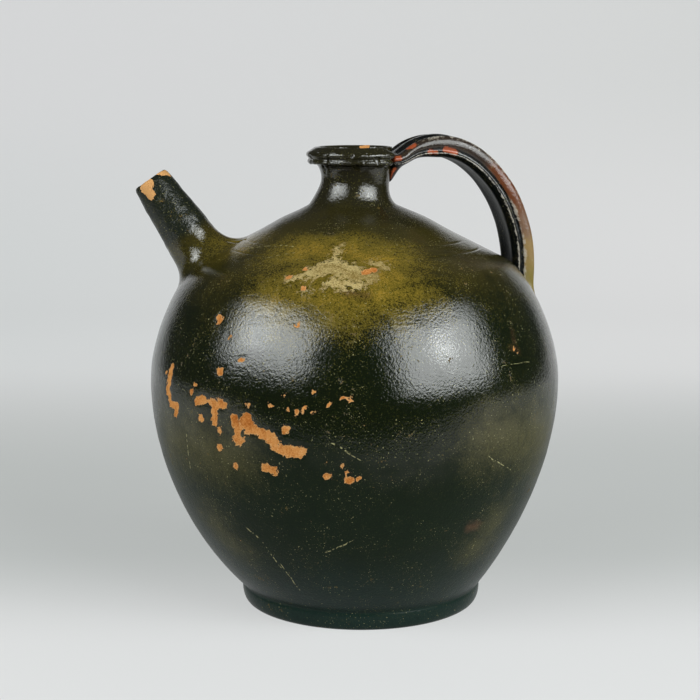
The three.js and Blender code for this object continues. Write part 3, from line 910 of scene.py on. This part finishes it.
def makeHandle():
    h = handle
    middles, (rootMark, topMark, tailMark, length) = strapLine()
    section = strapSection()
    turn = Matrix.Translation((-body["lean"] * mm, 0, 0)) @ Matrix.Rotation(degrees(h["turn"]), 4, "Z")

    def place(step, across, out):
        x, z = middles[step]
        before, after = middles[max(step - 1, 0)], middles[min(step + 1, len(middles) - 1)]
        heading = Vector((after[0] - before[0], after[1] - before[1])).normalized()
        along = step / h["steps"]
        gone, left = along * length, (1 - along) * length
        spread = h["rootFlare"] * math.exp(-(max(gone - rootMark, 0) / h["flareLength"]) ** 2)
        tail = math.exp(-(left / h["tailReachUp"]) ** 2)
        wide = part(1, h["tailWidth"] / h["width"], min(gone / tailMark, 1))
        wide = wide * (1 + spread) * (1 + h["tailSpread"] * tail)
        if gone < topMark:
            thick = part(h["rootThickness"], h["thickness"], smoothStep(gone, rootMark, topMark))
        else:
            thick = part(h["thickness"], h["tailThickness"], smoothStep(gone, topMark, tailMark))
        uneven = 0.98 + h["swell"] * rough(along * 9, across * 0.05, out * 0.05)
        a = across * wide * uneven + h["sideways"] * rough(along * 7, 2, across * 0.02)
        o = out * thick / h["thickness"] * uneven
        o += h["ripple"] * rough(along * 7, across * 0.18, out * 0.2)
        fromNeck = max(math.hypot(x, a) - body["neckRadius"] - 1.5, 0)
        middle = 1 - smoothStep(abs(a), *h["filletMiddle"])
        if out < 0:
            o -= h["fillet"][0] * middle * math.exp(-fromNeck / h["fillet"][1])
        else:
            o += h["brow"][0] * middle * math.exp(-fromNeck / h["brow"][1]) + h["tailRise"] * tail
        return turn @ (Vector((x - heading.y * o, a, z + heading.x * o)) * mm)

    bm = bmesh.new()
    order = bm.verts.layers.int.new("corner")
    reached = bm.verts.layers.int.new("step")
    verts = [bm.verts.new(place(0, *spot)) for spot in section]
    for i, vertex in enumerate(verts):
        vertex[order] = i
    face = bm.faces.new(verts)
    for step in range(1, h["steps"] + 1):
        result = bmesh.ops.extrude_face_region(bm, geom=[face])["geom"]
        if step > 1:  # only the skin stays
            bmesh.ops.delete(bm, geom=[face], context="FACES_ONLY")
        face = next(item for item in result if isinstance(item, bmesh.types.BMFace))
        for vertex in (item for item in result if isinstance(item, bmesh.types.BMVert)):
            vertex.co = place(step, *section[vertex[order]])
            vertex[reached] = step
    bmesh.ops.recalc_face_normals(bm, faces=bm.faces)
    piece = pieceFrom(bm, "jug_handle", "handle_glaze",
                      "handle_strap", "handle_root_pad", "handle_tail_pad")
    smooth = piece.modifiers.new("softEdges", "SUBSURF")
    smooth.levels = smooth.render_levels = 1
    return piece


jugHandle = makeHandle()
print("handle made")

spoutMarks = {
    "tipLeft": (5.4, (144, 188), (149, 183.5)),
    "tipLeftLow": (5.2, (148, 191), (150.5, 194.5)),
    "tipCap": (2.7, (158, 173.4), (168.5, 172)),
    "tipCapEnd": (1.6, (169.5, 175)),
}
handleMarks = {  # where the strap's glaze burnt red
    "rootUpper": (2.6, (391, 161), (400, 158)),
    "rootLower": (2.2, (390.5, 178), (394, 169)),
    "top": (2.2, (408, 148), (413, 145)),
    "side": (2.4, (445, 149), (455, 152.5)),
    "sideSmall": (1.5, (430, 152), (436, 152)),
}


backChips = {  # scattered on the unseen side
    "count": 46, "seed": 4,
    "least": 0.7, "growth": 2.6,  # radius in mm
    "scatter": (2.4, 2.4, 2.0), "scattered": (0.5, 0.6),
    "behind": 0.05, "heights": (0.02, 0.25),  # in m
}
sunk = {"depth": 0.35, "from": -0.4, "to": 0.3}  # bare patches lie a little under the glaze


def randomSpots(tree, mesh):
    c = backChips
    dice = random.Random(c["seed"])
    spots = []
    vertices = mesh.vertices
    while len(spots) < c["count"]:
        vertex = vertices[dice.randrange(len(vertices))]
        radius = mm * (c["least"] + c["growth"] * dice.random() ** 3)
        spot, normal = vertex.co, vertex.normal
        outside = normal.x * spot.x + normal.y * spot.y > 0
        if outside and spot.y > c["behind"] and c["heights"][0] < spot.z < c["heights"][1]:
            spots.append((spot.copy(), radius))
            for _ in range(dice.randrange(3)):
                shift = Vector([dice.gauss(0, reach) for reach in c["scatter"]]) * mm
                nearest, _, _, _ = tree.find_nearest(spot + shift)
                least, growth = c["scattered"]
                spots.append((nearest, radius * (least + growth * dice.random())))
    return spots


def paintBodyWearAndSheen():
    mesh = jugBody.data
    tree = surfaceTree(mesh)
    spots = markSpots(tree, bodyMarks) + randomSpots(tree, mesh)
    chips = paint(mesh, "chip", spots, *paintReach["chip"])
    for vertex, chip in zip(mesh.vertices, chips):
        if chip > sunk["from"]:
            depth = sunk["depth"] * mm * smoothStep(chip, sunk["from"], sunk["to"])
            vertex.co -= vertex.normal * depth
    tipSpots = markSpots(surfaceTree(jugSpout.data), spoutMarks)
    paint(jugSpout.data, "chip", tipSpots, *paintReach["chip"])
    for piece in (jugBody, jugSpout):
        for name, patches in patchSets.items():
            paint(piece.data, name, markSpots(tree, patches), *paintReach[name])
    scratches = []
    for start, end, width in scratchLines.values():
        first, normal, _, _ = tree.ray_cast(camera.location, sightLine(start))
        last, _, _, _ = tree.ray_cast(camera.location, sightLine(end))
        scratches.append((first, last, normal, width * mm))
    return scratches


strapGlints = {  # painted highlights: how pale the section's corners are, and where; the pale crest, ridge and arris stand in for light caught on those edges
    "crest": {14: 0.5, 15: 0.75, 16: 0.45}, "crestFrom": (0.5, 0.62),
    "ridgeGlint": {7: 0.3, 8: 0.5, 9: 0.72, 10: 0.5, 11: 0.35},
    "ridgeFrom": (0.1, 0.2), "ridgeTo": (0.6, 0.7),
    "arris": {20: 0.7, 21: 0.6},
    "roll": (9, 15), "inner": (21.5, 23.5),  # corners of the rolled edge and of the inner face
}


def paintHandleChipsAndGlints():
    mesh = jugHandle.data
    w = strapGlints
    spots = markSpots(surfaceTree(mesh), handleMarks)
    paint(mesh, "chip", spots, *paintReach["handleChip"])
    for name in patchSets:
        paint(mesh, name, [], *paintReach[name])
    sections = len(strapSection())
    rows = []
    for step, corner in zip(mesh.attributes["step"].data, mesh.attributes["corner"].data):
        corner = min(corner.value, sections - corner.value)  # the same on both sides of the middle
        along = step.value / handle["steps"]
        crest = w["crest"].get(corner, 0) * smoothStep(along, *w["crestFrom"])
        ridgeGlint = w["ridgeGlint"].get(corner, 0) * smoothStep(along, *w["ridgeFrom"])
        ridgeGlint *= 1 - smoothStep(along, *w["ridgeTo"])
        rolled = float(w["roll"][0] <= corner <= w["roll"][1])
        # painted highlights along the crest, ridge and arris
        pale = max(crest, ridgeGlint, w["arris"].get(corner, 0))
        rows.append((along, rolled, pale, smoothStep(corner, *w["inner"])))
    for name, values in zip(("run", "roll", "pale", "inner"), zip(*rows)):
        mesh.attributes.new(name, "FLOAT", "POINT").data.foreach_set("value", values)


# the body's dull olive patches include painted reflection on the belly's sides
bodyScratches = paintBodyWearAndSheen()
# the strap's pale corners are painted highlights
paintHandleChipsAndGlints()
print("wear painted")

glazeDark = makeGlaze("greenBlackGlaze", bodyScratches)
glazeSpout = makeGlaze("dullGlaze")
glazeHandle = makeGlaze("brownGlaze", strap=True)
for piece, material in ((jugBody, glazeDark), (jugSpout, glazeSpout), (jugHandle, glazeHandle)):
    piece.data.materials.append(material)
print("materials made")

studio = {
    "floorColours": (linear(226, 226, 226), linear(220, 221, 222)),
    "nearColour": linear(226, 227, 227), "shadeBandColour": linear(196, 200, 198),
    "behindColours": (linear(234, 238, 238), linear(252, 252, 252)),  # left and right; painted light: the backdrop is set brighter towards the right
    "aboveColours": (linear(241, 242, 243), linear(238, 240, 239)),
    "aside": (-1, 1.2), "above": (0.02, 0.4), "behind": (0.3, 1.2),  # in m
    "shadeBandFrom": (-0.11, 0.12), "shadeBandTo": (0.34, 0.95),  # painted shade: the floor is darkened in a band round and behind the jug, where its light falls off
    "seenShare": 0.65,
    "softboxes": {  # direction, width and height in m, watts
        "left": ((-0.7, -0.525, 0.492), 1.3, 0.74, 16.5),
        "right": ((0.717, -0.571, 0.392), 1.42, 0.97, 25.0),
        "leftCore": ((-0.76, -0.42, 0.49), 0.2, 0.18, 1.0),
        "rightCore": ((0.72, -0.545, 0.43), 0.22, 0.2, 2.2),
    },
    "softboxDistance": 1.5, "softboxTarget": (0, 0, 0.2), "softboxColour": (0.96, 1, 0.99),
    "worldLevel": 0.045,
    "floorFront": -0.42, "floorHalfWidth": 1.7, "backdropStart": 1.4, "backdropRadius": 0.9,
    "backdropTop": 1.05,
}


def makeFloor():
    s = studio
    sweep = joined([(s["floorFront"], 0), (s["backdropStart"], 0)],
                   arc((s["backdropStart"], s["backdropRadius"]), s["backdropRadius"], -90, 0, 24),
                   [(s["backdropStart"] + s["backdropRadius"], s["backdropTop"])])
    bm = bmesh.new()
    verts = [bm.verts.new((-s["floorHalfWidth"], y, z)) for y, z in sweep]
    edges = [bm.edges.new(pair) for pair in zip(verts, verts[1:])]
    result = bmesh.ops.extrude_edge_only(bm, edges=edges)["geom"]
    moved = [item for item in result if isinstance(item, bmesh.types.BMVert)]
    bmesh.ops.translate(bm, verts=moved, vec=(2 * s["floorHalfWidth"], 0, 0))
    bmesh.ops.recalc_face_normals(bm, faces=bm.faces)
    floor = objectFrom(bm, "studioFloor")
    shader = Shader("paperFloor")
    pale = shader.blend(*s["floorColours"], shader.noise(*noises["paper"]))
    diffuse = shader.output("ShaderNodeBsdfDiffuse", {}, {"Color": pale})
    place = shader.node("ShaderNodeSeparateXYZ", {}, {0: shader.place}).outputs
    aside, back, up = (Wire(shader, socket) for socket in place)
    # painted light: the backdrop's brightness is set to change from left to right, upwards and towards
    # the back
    behind, above = (shader.blend(*s[name], aside.ramp(*s["aside"]))
                     for name in ("behindColours", "aboveColours"))
    behind = shader.blend(behind, above, up.ramp(*s["above"]))
    white = shader.blend(s["nearColour"], behind, back.ramp(*s["behind"]))
    # painted shade on the floor round and behind the jug
    shadeBand = back.ramp(*s["shadeBandFrom"]) * (1 - back.ramp(*s["shadeBandTo"]))
    white = shader.blend(white, s["shadeBandColour"], shadeBand)
    glow = shader.output("ShaderNodeEmission", {}, {"Color": white, "Strength": 1})
    ray = shader.node("ShaderNodeLightPath", {}, {}).outputs
    seen = Wire(shader, ray["Is Camera Ray"]).larger(Wire(shader, ray["Is Glossy Ray"]))
    seen = seen.larger(Wire(shader, ray["Is Transmission Ray"]))
    surface = shader.output("ShaderNodeMixShader", {},
                            {0: seen * s["seenShare"], 1: diffuse, 2: glow})
    shader.node("ShaderNodeOutputMaterial", {}, {0: surface})
    floor.data.materials.append(shader.material)


def makeLights():
    s = studio
    for name, (direction, width, height, power) in s["softboxes"].items():
        data = bpy.data.lights.new(name + "Softbox", "AREA")
        data.shape, data.size, data.size_y = "RECTANGLE", width, height
        data.energy = power
        data.color = s["softboxColour"]
        lamp = linked(name + "Softbox", data)
        away = Vector(direction).normalized()
        lamp.location = Vector(s["softboxTarget"]) + away * s["softboxDistance"]
        lamp.rotation_euler = away.to_track_quat("Z", "Y").to_euler()
    world = bpy.data.worlds.new("studioWorld")
    world.use_nodes = True
    background = world.node_tree.nodes["Background"]
    background.inputs["Color"].default_value = (1, 1, 1, 1)
    background.inputs["Strength"].default_value = s["worldLevel"]
    bpy.context.scene.world = world


makeFloor()
makeLights()
bpy.context.scene.view_settings.view_transform = "Standard"
print("studio made")
